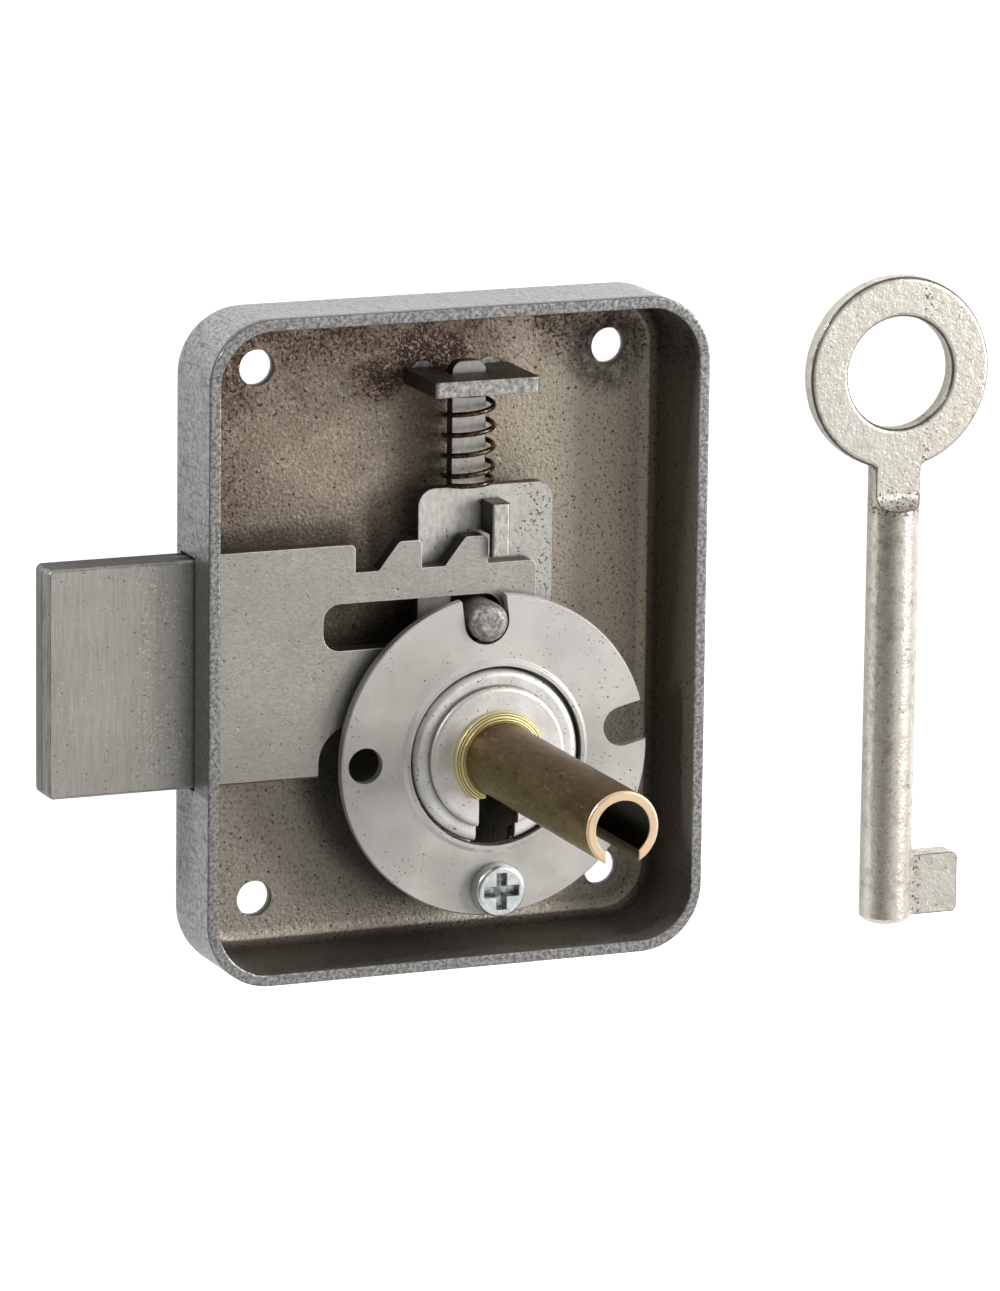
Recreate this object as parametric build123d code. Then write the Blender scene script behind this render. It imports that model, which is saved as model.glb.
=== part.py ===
"""Surface-mounted furniture lock with a two-turn dead bolt, a sprung tumbler, a key tube and its key.

Millimetres. The lock lies on its plain face with the open side up. The origin is the middle of the four
fixing holes on the plain face. +X points away from the bolt head, +Y along the tumbler, +Z up the key tube.
"""
from build123d import *
import math
import os

# Case: a drawn steel tray
case_length = 75.8
case_width = 60.0
case_depth = 13.4
sheet = 1.35
case_corner = 7.5
back_bend = 3.5
rim_break = 0.2
case_x = -1.3
case_y = 0.3
fixing_span_x = 42.6
fixing_span_y = 61.1
fixing_hole_d = 4.15

# Key tube and the rotor it is pressed into
key_x = 4.1
key_y = -13.8
tube_d = 8.5
tube_bore = 6.4
tube_top = 47.5
tube_slot = 4.0
tube_lip = 0.25
collar_d = 10.9
collar_height = 0.75
collar_ring_d = 9.6
collar_ring_rise = 0.3
collar_chord = 4.4
rotor_sheet = 0.8
rotor_flange_d = 23.2
rotor_ring_d = 20.2
rotor_ring_rise = 1.6
rotor_boss_d = 16.5
rotor_boss_rise = 0.9
rotor_slot = 4.8
rotor_ring_round = 0.9
rotor_boss_round = 0.6

# Key
key_shank_d = 6.05
key_reach = 39.35
key_lying_x = 56.75
bow_y = 25.7
bow_d = 22.5
bow_hole_d = 13.1
bow_thickness = 2.4
bow_break = 0.55
scoop_length = 5.0
neck_fillet = 1.2
bit_radius = 8.55
bit_height = 7.15
bit_thickness = 2.8
bit_break = 0.7
tip_chamfer = 0.6

# Dead bolt: a toothed plate with a packing plate behind its head
bolt_front_z = 8.5
bolt_plate = 2.2
packing_plate = 2.0
bolt_height = 26.05
bolt_head_top = 10.75
bolt_shoulder = 0.43
shoulder_gap = 0.2
bolt_reach = 17.1
bolt_edge = 0.25
bolt_corner = 0.7
tooth_pitch = 8.0
turns_to_open = 2
tooth_depth = 3.2
tooth_floor = 2.8
tooth_run = 2.5
tooth_round = 0.7
stump_wall_x = 3.9
tail_length = 5.9
talon_gap = 5.0
talon_width = 3.0
talon_tip_radius = 6.1
packing_length = 20.0

# Guide post, riveted to the case
post_x = 2.95
post_y = 1.8
post_d = 4.5
post_top = 12.2
post_dome = 1.1
post_collar_d = 7.5
rivet_d = 3.0
slot_round = 2.0

# Tumbler and its stump
tongue_x = 2.35
tumbler_plate = 1.5
tumbler_front_z = 6.1
tumbler_left = 6.0
tumbler_right = 10.4
tumbler_top = 16.45
tumbler_corner = 2.0
tumbler_lift = 3.3
key_lift = 2.95
belly_cheek = 5.2
tongue_width = 4.05
tongue_top = 30.8
stump_width = 2.15
stump_bottom = 8.7
stump_top = 14.9
stump_rise = 3.4

# Spring bracket
bracket_x = 2.65
bracket_plate = 1.75
bracket_width = 12.6
bracket_bottom = 27.7
bracket_front_z = 11.0
bracket_corner = 0.5
stake_hole_d = 3.3
stake_span = 8.2

# Spring
spring_x = 2.55
spring_z = 5.55
wire_d = 0.6
spring_d = 6.3
end_turns = 1.0
middle_turns = 4
top_turns = 0.25
end_offset = 70
end_pitch = 1.05

# Cover disc, its pillar and its screw
disc_d = 37.1
disc_sheet = 1.2
disc_back_z = 9.6
disc_edge = 0.15
lip_width = 0.85
lip_rise = 0.4
feature_radius = 15.7
post_notch_width = 5.4
post_notch_lean = 98
side_notch_width = 4.6
side_notch_angle = 8.0
side_notch_lean = 14
spare_hole_d = 4.1
screw_angle = -89
screw_radius = 15.45
screw_head_d = 6.0
screw_head_height = 1.8
screw_shank_d = 2.9
screw_length = 7.0
screw_hole_d = 3.4
cross_width = 1.3
cross_length = 4.3
cross_depth = 1.1
cross_taper = 14
head_round = 0.5
pillar_d = 5.4
pillar_hole_depth = 8.0

# Clearances
slide_gap = 0.3
stop_gap = 0.05
slot_end_gap = 0.6
post_gap = 0.45
window_gap = 0.25
turn_gap = 0.1
ring_gap = 0.3
press_gap = 0.02
layer_gap = 0.1
talon_gap_over_bit = 0.35
tube_gap = 0.25

# Places that follow from the sizes above
case_left = case_x - case_width / 2
bolt_bottom = bolt_head_top - bolt_height
bolt_top = bolt_head_top + bolt_shoulder
bolt_back_z = bolt_front_z - bolt_plate
packing_back_z = bolt_back_z - packing_plate
bolt_front_x = case_left - bolt_reach
shoulder_x = case_left + sheet + shoulder_gap
bolt_travel = turns_to_open * tooth_pitch
tumbler_back_z = tumbler_front_z - tumbler_plate
disc_front_z = disc_back_z + disc_sheet
rotor_flange_top = disc_back_z - turn_gap
rotor_ring_top = rotor_flange_top + rotor_ring_rise
rotor_top = rotor_ring_top + rotor_boss_rise
disc_hole_d = rotor_ring_d + 2 * ring_gap
screw_x = key_x + screw_radius * math.cos(math.radians(screw_angle))
screw_y = key_y + screw_radius * math.sin(math.radians(screw_angle))
bracket_top = bracket_bottom + bracket_plate
key_z = key_shank_d / 2

os.makedirs("parts", exist_ok=True)


def write(name, shape):
    """Write one sub-part and print what it holds."""
    shape.label = name
    export_step(shape, f"parts/{name}.step")
    print(f"{name:22s} {shape.volume:9.2f} mm3 in {len(shape.solids())} solid")


def block(x0, x1, y0, y1, z0, z1):
    """A box between two corners."""
    middle = Pos((x0 + x1) / 2, (y0 + y1) / 2, (z0 + z1) / 2)
    return middle * Box(x1 - x0, y1 - y0, z1 - z0)


def rod(x, y, z0, z1, diameter):
    """An upright cylinder between two heights."""
    return Pos(x, y, (z0 + z1) / 2) * Cylinder(diameter / 2, z1 - z0)


def at_polar(angle, radius):
    """The X and Y of a point on the cover disc, by angle and distance from the key tube."""
    turn = math.radians(angle)
    return key_x + radius * math.cos(turn), key_y + radius * math.sin(turn)


def plate(outline, z0, z1):
    """A flat sheet between two heights, from a closed outline."""
    return Pos(0, 0, z0) * extrude(make_face(outline), z1 - z0)


def edges_at_height(shape, z):
    """The edges that lie in one level."""
    return shape.edges().filter_by_position(Axis.Z, z - 0.001, z + 0.001)


def upright_edges(shape, x, y, within=0.05):
    """The upright edges that stand at one X and Y."""
    found = []
    for edge in shape.edges().filter_by(Axis.Z):
        middle = edge.center()
        if math.hypot(middle.X - x, middle.Y - y) < within:
            found.append(edge)
    return found


def drawn_tray():
    """The tray before any hole: walls, bent back edge and broken rim."""
    outer = extrude(RectangleRounded(case_width, case_length, case_corner), case_depth)
    outer = fillet(edges_at_height(outer, 0), back_bend)
    inside = extrude(
        RectangleRounded(case_width - 2 * sheet, case_length - 2 * sheet, case_corner - sheet), case_depth
    )
    inside = fillet(edges_at_height(inside, 0), back_bend - sheet)
    tray = outer - Pos(0, 0, sheet) * inside
    tray = fillet(edges_at_height(tray, case_depth), rim_break)
    return Pos(case_x, case_y, 0) * tray


def make_case():
    """The tray with its fixing holes, rivet holes, staking holes and the window for the bolt."""
    case = drawn_tray()
    for side_x in (-1, 1):
        for side_y in (-1, 1):
            case -= rod(side_x * fixing_span_x / 2, side_y * fixing_span_y / 2, -1, sheet + 1, fixing_hole_d)
        stake_x = bracket_x + side_x * stake_span / 2
        case -= rod(stake_x, bracket_bottom + bracket_plate / 2, -1, sheet + 1, stake_hole_d)
    for x, y in ((post_x, post_y), (screw_x, screw_y)):
        case -= rod(x, y, -1, sheet + 1, rivet_d + 2 * press_gap)
    window = block(
        case_left - 1,
        case_left + sheet + 1,
        bolt_bottom - slide_gap,
        bolt_head_top + window_gap,
        packing_back_z - slide_gap,
        bolt_front_z + slide_gap,
    )
    return case - window


def bolt_outline():
    """The toothed plate's outline, from its lower head corner to the tail and back along the teeth."""
    floor_y = bolt_top - tooth_depth
    tail_x = stump_wall_x + tail_length
    talon_root = key_y + bit_radius + talon_gap_over_bit
    talon_tip = key_y + talon_tip_radius
    # the edge that ends up beside the tube when the bolt is drawn in
    tube_clear = tube_d / 2 + tube_gap
    tube_x = key_x - bolt_travel
    first_talon_x = key_x + tooth_pitch / 2 - turns_to_open * tooth_pitch - talon_gap / 2
    reach = math.hypot(first_talon_x - tube_x, talon_tip - key_y)
    bend = math.atan2(talon_tip - key_y, first_talon_x - tube_x) + math.acos(tube_clear / reach)
    rise = (bend + math.pi) / 2
    arc_start = (tube_x - tube_clear, key_y)
    arc_middle = (tube_x + tube_clear * math.cos(rise), key_y + tube_clear * math.sin(rise))
    arc_end = (tube_x + tube_clear * math.cos(bend), key_y + tube_clear * math.sin(bend))
    lines = [
        Line((bolt_front_x, bolt_bottom), (tube_x - tube_clear, bolt_bottom)),
        Line((tube_x - tube_clear, bolt_bottom), arc_start),
        ThreePointArc(arc_start, arc_middle, arc_end),
    ]
    # one talon gap for each turn, with a tooth on both sides of each
    corners = [arc_end]
    for turn in range(turns_to_open, 0, -1):
        gap_x = key_x + tooth_pitch / 2 - turn * tooth_pitch
        corners += [
            (gap_x - talon_gap / 2, talon_tip),
            (gap_x - talon_gap / 2, talon_root),
            (gap_x + talon_gap / 2, talon_root),
            (gap_x + talon_gap / 2, talon_tip),
        ]
    last_x = key_x - tooth_pitch / 2 + talon_gap / 2 + talon_width
    corners += [(last_x, talon_tip), (last_x, talon_root), (tail_x, talon_root), (tail_x, floor_y)]
    # one ratchet tooth for each turn, upright towards the tail and sloped towards the head
    for tooth in range(turns_to_open):
        wall_x = stump_wall_x - tooth * tooth_pitch
        floor_end = wall_x - tooth_pitch + tooth_floor
        corners += [
            (wall_x, floor_y),
            (wall_x, bolt_top),
            (floor_end + tooth_run, bolt_top),
            (floor_end, floor_y),
        ]
    # the long top edge ends in a low shoulder that meets the case wall when the bolt is out
    back_x = stump_wall_x - turns_to_open * tooth_pitch
    corners += [(back_x, floor_y), (back_x, bolt_top), (shoulder_x, bolt_top), (shoulder_x, bolt_head_top)]
    corners += [(bolt_front_x, bolt_head_top), (bolt_front_x, bolt_bottom)]
    for start, end in zip(corners, corners[1:]):
        lines.append(Line(start, end))
    return lines


def round_tops(shape):
    """Round the ratchet teeth, the tail and the head's corners, as blanking leaves them."""
    floor_y = bolt_top - tooth_depth
    rounded = []
    for tooth in range(turns_to_open):
        wall_x = stump_wall_x - tooth * tooth_pitch
        floor_end = wall_x - tooth_pitch + tooth_floor
        rounded += upright_edges(shape, wall_x, bolt_top)
        rounded += upright_edges(shape, floor_end + tooth_run, bolt_top)
    rounded += upright_edges(shape, stump_wall_x - turns_to_open * tooth_pitch, bolt_top)
    rounded += upright_edges(shape, stump_wall_x + tail_length, floor_y)
    shape = fillet(rounded, tooth_round)
    head = upright_edges(shape, bolt_front_x, bolt_head_top) + upright_edges(shape, bolt_front_x, bolt_bottom)
    return fillet(head, bolt_corner)


def make_bolt_plate():
    """The toothed plate, with the long slot that runs on the guide post."""
    shape = round_tops(plate(bolt_outline(), bolt_back_z, bolt_front_z))
    slot_left = post_x - post_d / 2 - slot_end_gap - bolt_travel
    slot_right = post_x + post_d / 2 + slide_gap
    half = post_d / 2 + post_gap
    slot = block(slot_left, slot_right, post_y - half, post_y + half, bolt_back_z - 1, bolt_front_z + 1)
    slot = fillet(slot.edges().filter_by(Axis.Z), slot_round)
    shape -= slot
    head_edges = edges_at_height(shape, bolt_front_z).filter_by_position(
        Axis.X, bolt_front_x - 0.1, bolt_front_x + 0.1
    )
    return chamfer(head_edges, bolt_edge)


def make_packing_plate():
    """The plain plate that doubles the head, with worn edges towards the front plate."""
    shape = block(
        bolt_front_x, bolt_front_x + packing_length, bolt_bottom, bolt_head_top, packing_back_z, bolt_back_z
    )
    corners = upright_edges(shape, bolt_front_x, bolt_head_top) + upright_edges(shape, bolt_front_x, bolt_bottom)
    shape = fillet(corners, bolt_corner)
    return chamfer(edges_at_height(shape, bolt_back_z), bolt_edge)


def make_tumbler():
    """The tumbler plate: a tongue through the bracket, a slot on the post and a belly for the bit."""
    left = tongue_x - tumbler_left
    right = tongue_x + tumbler_right
    arc_y = key_y - key_lift
    cheek = belly_cheek
    cheek_y = arc_y + math.sqrt(bit_radius**2 - cheek**2)
    ramp = bit_radius - cheek
    outline = [
        ThreePointArc((key_x - cheek, cheek_y), (key_x, arc_y + bit_radius), (key_x + cheek, cheek_y)),
        Line((key_x + cheek, cheek_y), (right, cheek_y + ramp)),
        Line((right, cheek_y + ramp), (right, tumbler_top)),
        Line((right, tumbler_top), (left, tumbler_top)),
        Line((left, tumbler_top), (left, cheek_y + ramp)),
        Line((left, cheek_y + ramp), (key_x - cheek, cheek_y)),
    ]
    shape = plate(outline, tumbler_back_z, tumbler_front_z)
    shoulders = upright_edges(shape, left, tumbler_top) + upright_edges(shape, right, tumbler_top)
    shape = fillet(shoulders, tumbler_corner)
    tongue = block(
        tongue_x - tongue_width / 2,
        tongue_x + tongue_width / 2,
        tumbler_top - tumbler_corner,
        tongue_top,
        tumbler_back_z,
        tumbler_front_z,
    )
    tip = upright_edges(tongue, tongue_x - tongue_width / 2, tongue_top)
    tip += upright_edges(tongue, tongue_x + tongue_width / 2, tongue_top)
    tongue = fillet(tip, tongue_width * 0.3)
    half = post_d / 2 + slide_gap
    slot = block(
        post_x - half,
        post_x + half,
        post_y - post_d / 2 - tumbler_lift - slide_gap,
        post_y + post_d / 2 + stop_gap,
        tumbler_back_z - 1,
        tumbler_front_z + 1,
    )
    stump_hole = block(
        stump_x, stump_x + stump_width, stump_rivet_y - 1, stump_rivet_y + 1, tumbler_back_z - 1, tumbler_front_z + 1
    )
    return shape + tongue - slot - stump_hole


stump_x = stump_wall_x + layer_gap
stump_rivet_y = (bolt_top + layer_gap + stump_top) / 2


def make_stump():
    """The rectangular stump riveted in the tumbler. Its foot hangs in front of the bolt's teeth."""
    step_y = bolt_top + layer_gap
    front = tumbler_front_z + stump_rise
    root = block(stump_x, stump_x + stump_width, step_y, stump_top, tumbler_front_z, front)
    foot = block(stump_x, stump_x + stump_width, stump_bottom, stump_top, bolt_front_z + layer_gap, front)
    tenon = block(
        stump_x + press_gap,
        stump_x + stump_width - press_gap,
        stump_rivet_y - 1 + press_gap,
        stump_rivet_y + 1 - press_gap,
        tumbler_back_z,
        tumbler_front_z + 0.5,
    )
    stump = root + foot
    stump = fillet(edges_at_height(stump, front), 0.3)
    return stump + tenon


def make_bracket():
    """The plate that stands up from the case and takes the spring's thrust, staked by two tenons."""
    left = bracket_x - bracket_width / 2
    right = bracket_x + bracket_width / 2
    shape = block(left, right, bracket_bottom, bracket_top, sheet, bracket_front_z)
    front_corners = edges_at_height(shape, bracket_front_z).filter_by(Axis.Y)
    shape = fillet(front_corners, bracket_corner)
    for side in (-1, 1):
        x = bracket_x + side * stake_span / 2
        shape += rod(x, bracket_bottom + bracket_plate / 2, 0, sheet, stake_hole_d - 2 * press_gap)
    half = tongue_width / 2 + slide_gap
    shape -= block(
        tongue_x - half,
        tongue_x + half,
        bracket_bottom - 1,
        bracket_top + 1,
        tumbler_back_z - slide_gap,
        tumbler_front_z + slide_gap,
    )
    return shape


def make_post():
    """The guide post: a collar that carries the tumbler, a plain stem with a domed end, a riveted tail."""
    stem = rod(post_x, post_y, sheet, post_top, post_d)
    stem = fillet(edges_at_height(stem, post_top), post_dome)
    collar = rod(post_x, post_y, sheet, tumbler_back_z - layer_gap, post_collar_d)
    return stem + collar + rod(post_x, post_y, 0, sheet, rivet_d)


def make_pillar():
    """The threaded pillar under the cover screw, riveted to the case."""
    shape = rod(screw_x, screw_y, sheet, disc_back_z, pillar_d) + rod(screw_x, screw_y, 0, sheet, rivet_d)
    hole_d = screw_shank_d + 2 * press_gap
    return shape - rod(screw_x, screw_y, disc_back_z - pillar_hole_depth, disc_back_z + 1, hole_d)


def make_screw():
    """The cover screw: pan head with a cross recess, and a plain shank at thread size."""
    head = rod(screw_x, screw_y, disc_front_z, disc_front_z + screw_head_height, screw_head_d)
    top = disc_front_z + screw_head_height
    head = fillet(edges_at_height(head, top), head_round)
    cross = Rectangle(cross_length, cross_width) + Rectangle(cross_width, cross_length)
    head -= Pos(screw_x, screw_y, top) * extrude(cross, -cross_depth, taper=cross_taper)
    return head + rod(screw_x, screw_y, disc_front_z - screw_length, disc_front_z, screw_shank_d)


def open_notch(x, y, lean, width):
    """A notch with a round root at one point, open at the disc's edge in the direction it leans."""
    straight = Pos(disc_d / 2, 0, 0) * Box(disc_d, width, 4 * disc_sheet)
    tool = straight + Cylinder(width / 2, 4 * disc_sheet)
    return Pos(x, y, (disc_back_z + disc_front_z) / 2) * Rot(0, 0, lean) * tool


def make_disc():
    """The cover disc: a raised lip round the rotor, a notch on the post, a spare notch and a spare hole."""
    disc = rod(key_x, key_y, disc_back_z, disc_front_z, disc_d)
    disc = chamfer(edges_at_height(disc, disc_front_z), disc_edge)
    lip_d = disc_hole_d + 2 * lip_width
    lip = Pos(key_x, key_y, disc_front_z) * Cone(
        lip_d / 2, lip_d / 2 - lip_width / 2, lip_rise, align=(Align.CENTER, Align.CENTER, Align.MIN)
    )
    disc += lip
    disc -= rod(key_x, key_y, disc_back_z - 1, disc_front_z + 2, disc_hole_d)
    disc -= open_notch(post_x, post_y, post_notch_lean, post_notch_width)
    side_x, side_y = at_polar(side_notch_angle, feature_radius)
    disc -= open_notch(side_x, side_y, side_notch_lean, side_notch_width)
    spare_x, spare_y = at_polar(180, feature_radius)
    disc -= rod(spare_x, spare_y, disc_back_z - 1, disc_front_z + 1, spare_hole_d)
    return disc - rod(screw_x, screw_y, disc_back_z - 1, disc_front_z + 1, screw_hole_d)


def make_rotor():
    """The pressed rotor: a flange behind the disc, a ring in its opening, a raised boss and a key slot."""
    flange_r = rotor_flange_d / 2
    ring_r = rotor_ring_d / 2
    boss_r = rotor_boss_d / 2
    bore_r = tube_d / 2 + press_gap
    bottom = rotor_flange_top - rotor_sheet
    points = [
        (flange_r, bottom),
        (flange_r, rotor_flange_top),
        (ring_r, rotor_flange_top),
        (ring_r, rotor_ring_top),
        (boss_r, rotor_ring_top),
        (boss_r, rotor_top),
        (bore_r, rotor_top),
        (bore_r, rotor_top - rotor_sheet),
        (boss_r - rotor_sheet, rotor_top - rotor_sheet),
        (boss_r - rotor_sheet, rotor_ring_top - rotor_sheet),
        (ring_r - rotor_sheet, rotor_ring_top - rotor_sheet),
        (ring_r - rotor_sheet, bottom),
        (flange_r, bottom),
    ]
    section = Plane.XZ * make_face([Line(a, b) for a, b in zip(points, points[1:])])
    rotor = revolve(section, Axis.Z)
    rotor = fillet(edges_at_height(rotor, rotor_top).sort_by(SortBy.LENGTH)[-1:], rotor_boss_round)
    rotor = fillet(edges_at_height(rotor, rotor_ring_top).sort_by(SortBy.LENGTH)[-1:], rotor_ring_round)
    half = rotor_slot / 2
    rotor -= block(-half, half, -rotor_flange_d, 0, bottom - 1, rotor_top + 1)
    return Pos(key_x, key_y, 0) * rotor


def make_tube():
    """The slotted key tube, with the stepped collar that seats it on the rotor."""
    tube = rod(0, 0, sheet + turn_gap, tube_top, tube_d)
    tube = fillet(edges_at_height(tube, tube_top), tube_lip)
    collar_top = rotor_top + collar_height + collar_ring_rise
    collar = rod(0, 0, rotor_top, rotor_top + collar_height, collar_d)
    collar = fillet(edges_at_height(collar, rotor_top + collar_height), tube_lip)
    collar += rod(0, 0, rotor_top, collar_top, collar_ring_d)
    collar -= block(-collar_d, collar_d, -collar_d, -collar_chord, rotor_top - 1, collar_top + 1)
    tube = tube + collar - rod(0, 0, 0, tube_top + 1, tube_bore)
    tube -= block(-tube_slot / 2, tube_slot / 2, -collar_d, 0, 0, tube_top + 1)
    return Pos(key_x, key_y, 0) * tube


def make_key():
    """The cast key as it lies beside the lock: a flat round bow, scooped cheeks, a round shank, a plain bit."""
    bow_half = bow_thickness / 2
    radius = key_shank_d / 2
    neck_half = math.sqrt(radius**2 - bow_half**2)
    junction = -math.sqrt((bow_d / 2) ** 2 - neck_half**2)
    face = Circle(bow_d / 2) + Pos(0, junction, 0) * Rectangle(2 * neck_half, 2 * neck_fillet + 1)
    inner = [v for v in face.vertices() if abs(v.Y - junction) < 0.01]
    face = fillet(inner, neck_fillet) - Circle(bow_hole_d / 2)
    bow = Pos(0, 0, -bow_half) * extrude(face, bow_thickness)
    bow = fillet(edges_at_height(bow, -bow_half) + edges_at_height(bow, bow_half), bow_break)
    bow = Pos(key_lying_x, bow_y, key_z) * bow
    tip_y = -key_reach
    top_y = bow_y + junction
    shank = Pos(key_lying_x, (tip_y + top_y) / 2, key_z) * Rot(90, 0, 0) * Cylinder(radius, top_y - tip_y)
    tip = shank.edges().filter_by(GeomType.CIRCLE).sort_by(Axis.Y)[0]
    shank = chamfer(tip, tip_chamfer)
    # a scoop above and below, flat with a hollow end, brings the round shank down to the bow's thickness
    hollow = radius - bow_half
    start = top_y - scoop_length
    diagonal = hollow * math.sqrt(0.5)
    for side in (-1, 1):
        rim = (start, key_z + side * radius)
        hollow_middle = (start + hollow - diagonal, key_z + side * (radius - diagonal))
        flat_start = (start + hollow, key_z + side * bow_half)
        flat_end = (top_y + 1, key_z + side * bow_half)
        above_end = (top_y + 1, key_z + side * (radius + 1))
        above_start = (start, key_z + side * (radius + 1))
        profile = [
            ThreePointArc(rim, hollow_middle, flat_start),
            Line(flat_start, flat_end),
            Line(flat_end, above_end),
            Line(above_end, above_start),
            Line(above_start, rim),
        ]
        scoop = extrude(Plane.YZ * make_face(profile), key_shank_d + 2)
        shank -= Pos(key_lying_x - radius - 1, 0, 0) * scoop
    bit = block(
        key_lying_x,
        key_lying_x + bit_radius,
        tip_y + tip_chamfer,
        tip_y + tip_chamfer + bit_height,
        key_z - bit_thickness / 2,
        key_z + bit_thickness / 2,
    )
    outer = bit.edges().filter_by(Axis.Z).sort_by(Axis.X)[-2:]
    bit = fillet(outer, bit_break)
    return bow + shank + bit


def spring_height(turns):
    """How far up its axis the wire's middle is after a number of turns, with closer turns at both ends."""
    free = spring_length - wire_d - (end_turns + top_turns) * end_pitch
    middle_pitch = free / middle_turns
    if turns <= end_turns:
        return turns * end_pitch
    if turns <= end_turns + middle_turns:
        return end_turns * end_pitch + (turns - end_turns) * middle_pitch
    rest = turns - end_turns - middle_turns
    return end_turns * end_pitch + free + rest * end_pitch


def spring_point(turns):
    """A point of the wire's middle line. The spring's axis runs along +Y round the tongue."""
    angle = 2 * math.pi * turns - math.radians(end_offset)
    radius = (spring_d - wire_d) / 2
    along = tumbler_top + wire_d / 2 + spring_height(turns)
    return Vector(spring_x + radius * math.sin(angle), along, spring_z + radius * math.cos(angle))


def spring_tangent(turns):
    """The wire's direction at one turn, from two points close by on either side."""
    step = 0.01
    low = max(0.0, turns - step)
    high = min(spring_turns, turns + step)
    return (spring_point(high) - spring_point(low)).normalized()


def biarc(start, along_start, end, along_end):
    """Two arcs that leave the start and reach the end along given directions."""
    chord = end - start
    both = along_start + along_end
    a = 2 * (along_start.dot(along_end) - 1)
    b = -2 * chord.dot(both)
    c = chord.dot(chord)
    if abs(a) < 1e-9:
        reach = -c / b
    else:
        reach = (-b - math.sqrt(b * b - 4 * a * c)) / (2 * a)
    joint = (start + along_start * reach + end - along_end * reach) * 0.5
    first = Edge.make_tangent_arc(start, along_start, joint)
    second = Edge.make_tangent_arc(joint, first % 1, end)
    return [first, second]


def make_spring():
    """The open coil spring between the tumbler's shoulder and the bracket, one unbroken round wire."""
    steps = round(spring_turns * 4)
    edges = []
    for n in range(steps):
        here = n * spring_turns / steps
        there = (n + 1) * spring_turns / steps
        edges += biarc(spring_point(here), spring_tangent(here), spring_point(there), spring_tangent(there))
    path = Wire(edges)
    section = Plane(origin=path @ 0, z_dir=path % 0) * Circle(wire_d / 2)
    return sweep(section, path=path)


def least_spring_gap():
    """The least gap between turns that lie next to each other, measured on points of the middle line."""
    points = [spring_point(n / 48) for n in range(round(spring_turns * 48) + 1)]
    least = math.inf
    for i, here in enumerate(points):
        for there in points[i + 24 :]:
            least = min(least, (there - here).length - wire_d)
    return least


spring_length = bracket_bottom - tumbler_top
spring_turns = end_turns + middle_turns + top_turns

write("case", make_case())
write("bolt_front_plate", make_bolt_plate())
write("bolt_packing_plate", make_packing_plate())
write("tumbler", make_tumbler())
write("tumbler_stump", make_stump())
write("tumbler_spring", make_spring())
write("spring_bracket", make_bracket())
write("guide_post", make_post())
write("screw_pillar", make_pillar())
write("cover_disc", make_disc())
write("cover_screw", make_screw())
write("rotor", make_rotor())
write("key_tube", make_tube())
write("key", make_key())
print(f"spring: least gap to itself {least_spring_gap():.3f} mm")
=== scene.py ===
"""Looks of an open furniture lock and its key, dressed over the frame's own solids."""
import math

import bpy
from mathutils import Matrix, Vector


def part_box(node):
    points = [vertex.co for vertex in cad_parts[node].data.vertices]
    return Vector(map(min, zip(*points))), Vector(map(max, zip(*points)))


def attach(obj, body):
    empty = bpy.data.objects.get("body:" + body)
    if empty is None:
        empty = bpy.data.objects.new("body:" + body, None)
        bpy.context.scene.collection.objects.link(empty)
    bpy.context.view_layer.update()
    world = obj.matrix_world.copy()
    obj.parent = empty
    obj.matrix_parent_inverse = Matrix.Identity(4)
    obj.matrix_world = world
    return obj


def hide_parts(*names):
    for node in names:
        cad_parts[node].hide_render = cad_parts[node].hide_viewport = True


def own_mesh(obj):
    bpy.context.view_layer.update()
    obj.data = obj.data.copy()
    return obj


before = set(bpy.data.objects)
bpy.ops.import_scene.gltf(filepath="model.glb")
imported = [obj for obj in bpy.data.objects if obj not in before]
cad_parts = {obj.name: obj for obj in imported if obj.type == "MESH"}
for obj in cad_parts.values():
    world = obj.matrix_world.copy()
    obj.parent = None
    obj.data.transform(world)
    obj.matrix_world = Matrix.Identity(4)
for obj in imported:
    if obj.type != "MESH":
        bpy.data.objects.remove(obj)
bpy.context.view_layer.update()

# The camera looks down on the lock from its upper left, as the photograph does, through a long lens.
# The numbers come from fitting the case, the tube and the disc to the picture.
view_turn = Matrix.Rotation(math.radians(-0.69), 3, "Z")
view_turn = view_turn @ Matrix.Rotation(math.radians(12.61), 3, "X")
view_turn = view_turn @ Matrix.Rotation(math.radians(22.47), 3, "Y")
aim_mm = Vector((-9.573, 3.273, -920.96))
origin_shift_mm = Vector((-1.4, 0.4, 0.0))
camera_data = bpy.data.cameras.new("view")
camera_data.sensor_width = 36.0
camera_data.lens = 226.38
camera_data.clip_start = 0.05
camera_data.clip_end = 20.0
camera = bpy.data.objects.new("view", camera_data)
eye_mm = -(view_turn.transposed() @ aim_mm) + origin_shift_mm
camera.matrix_world = Matrix.Translation(eye_mm * 0.001) @ view_turn.transposed().to_4x4()
bpy.context.collection.objects.link(camera)
bpy.context.scene.camera = camera
bpy.context.scene.view_settings.view_transform = "Standard"


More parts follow.
